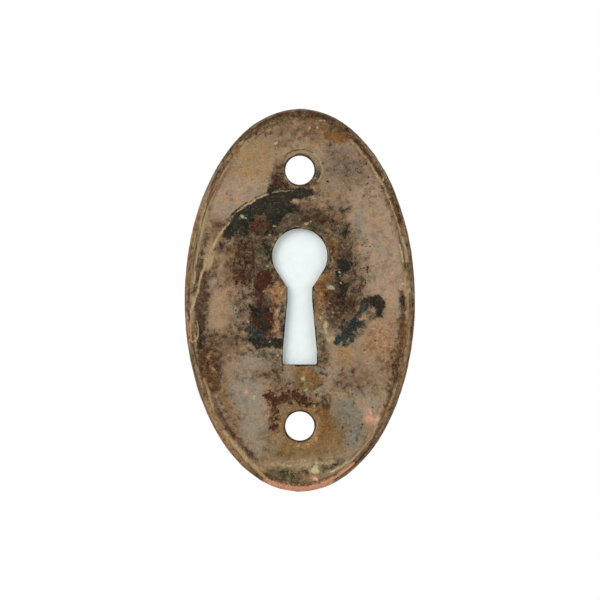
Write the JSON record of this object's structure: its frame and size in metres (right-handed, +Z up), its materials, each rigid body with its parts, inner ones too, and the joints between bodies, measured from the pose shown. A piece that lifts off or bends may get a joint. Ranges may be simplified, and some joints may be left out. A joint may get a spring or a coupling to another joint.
{
  "type": "keyhole escutcheon",
  "caption": "Oval stamped brass plate with a rolled rim, a keyhole and screw holes above and below it, aged to a mottled brown.",
  "frame": {"origin": "middle of the oval, in the plane of the plate's back, which lies on the door", "axes": "+Z up along the oval's long axis, +Y from the plate into the door, so the front faces -Y, +X to the right seen from the front"},
  "size_m": [0.0318, 0.0018, 0.0527],
  "materials": {
    "aged_brass": "old stamped brass with a mottled brown, grey and olive-black patina, rubbed to bare metal along the rim"
  },
  "bodies": {
    "root": {"escutcheon_plate": "aged_brass"}
  },
  "joints": []
}
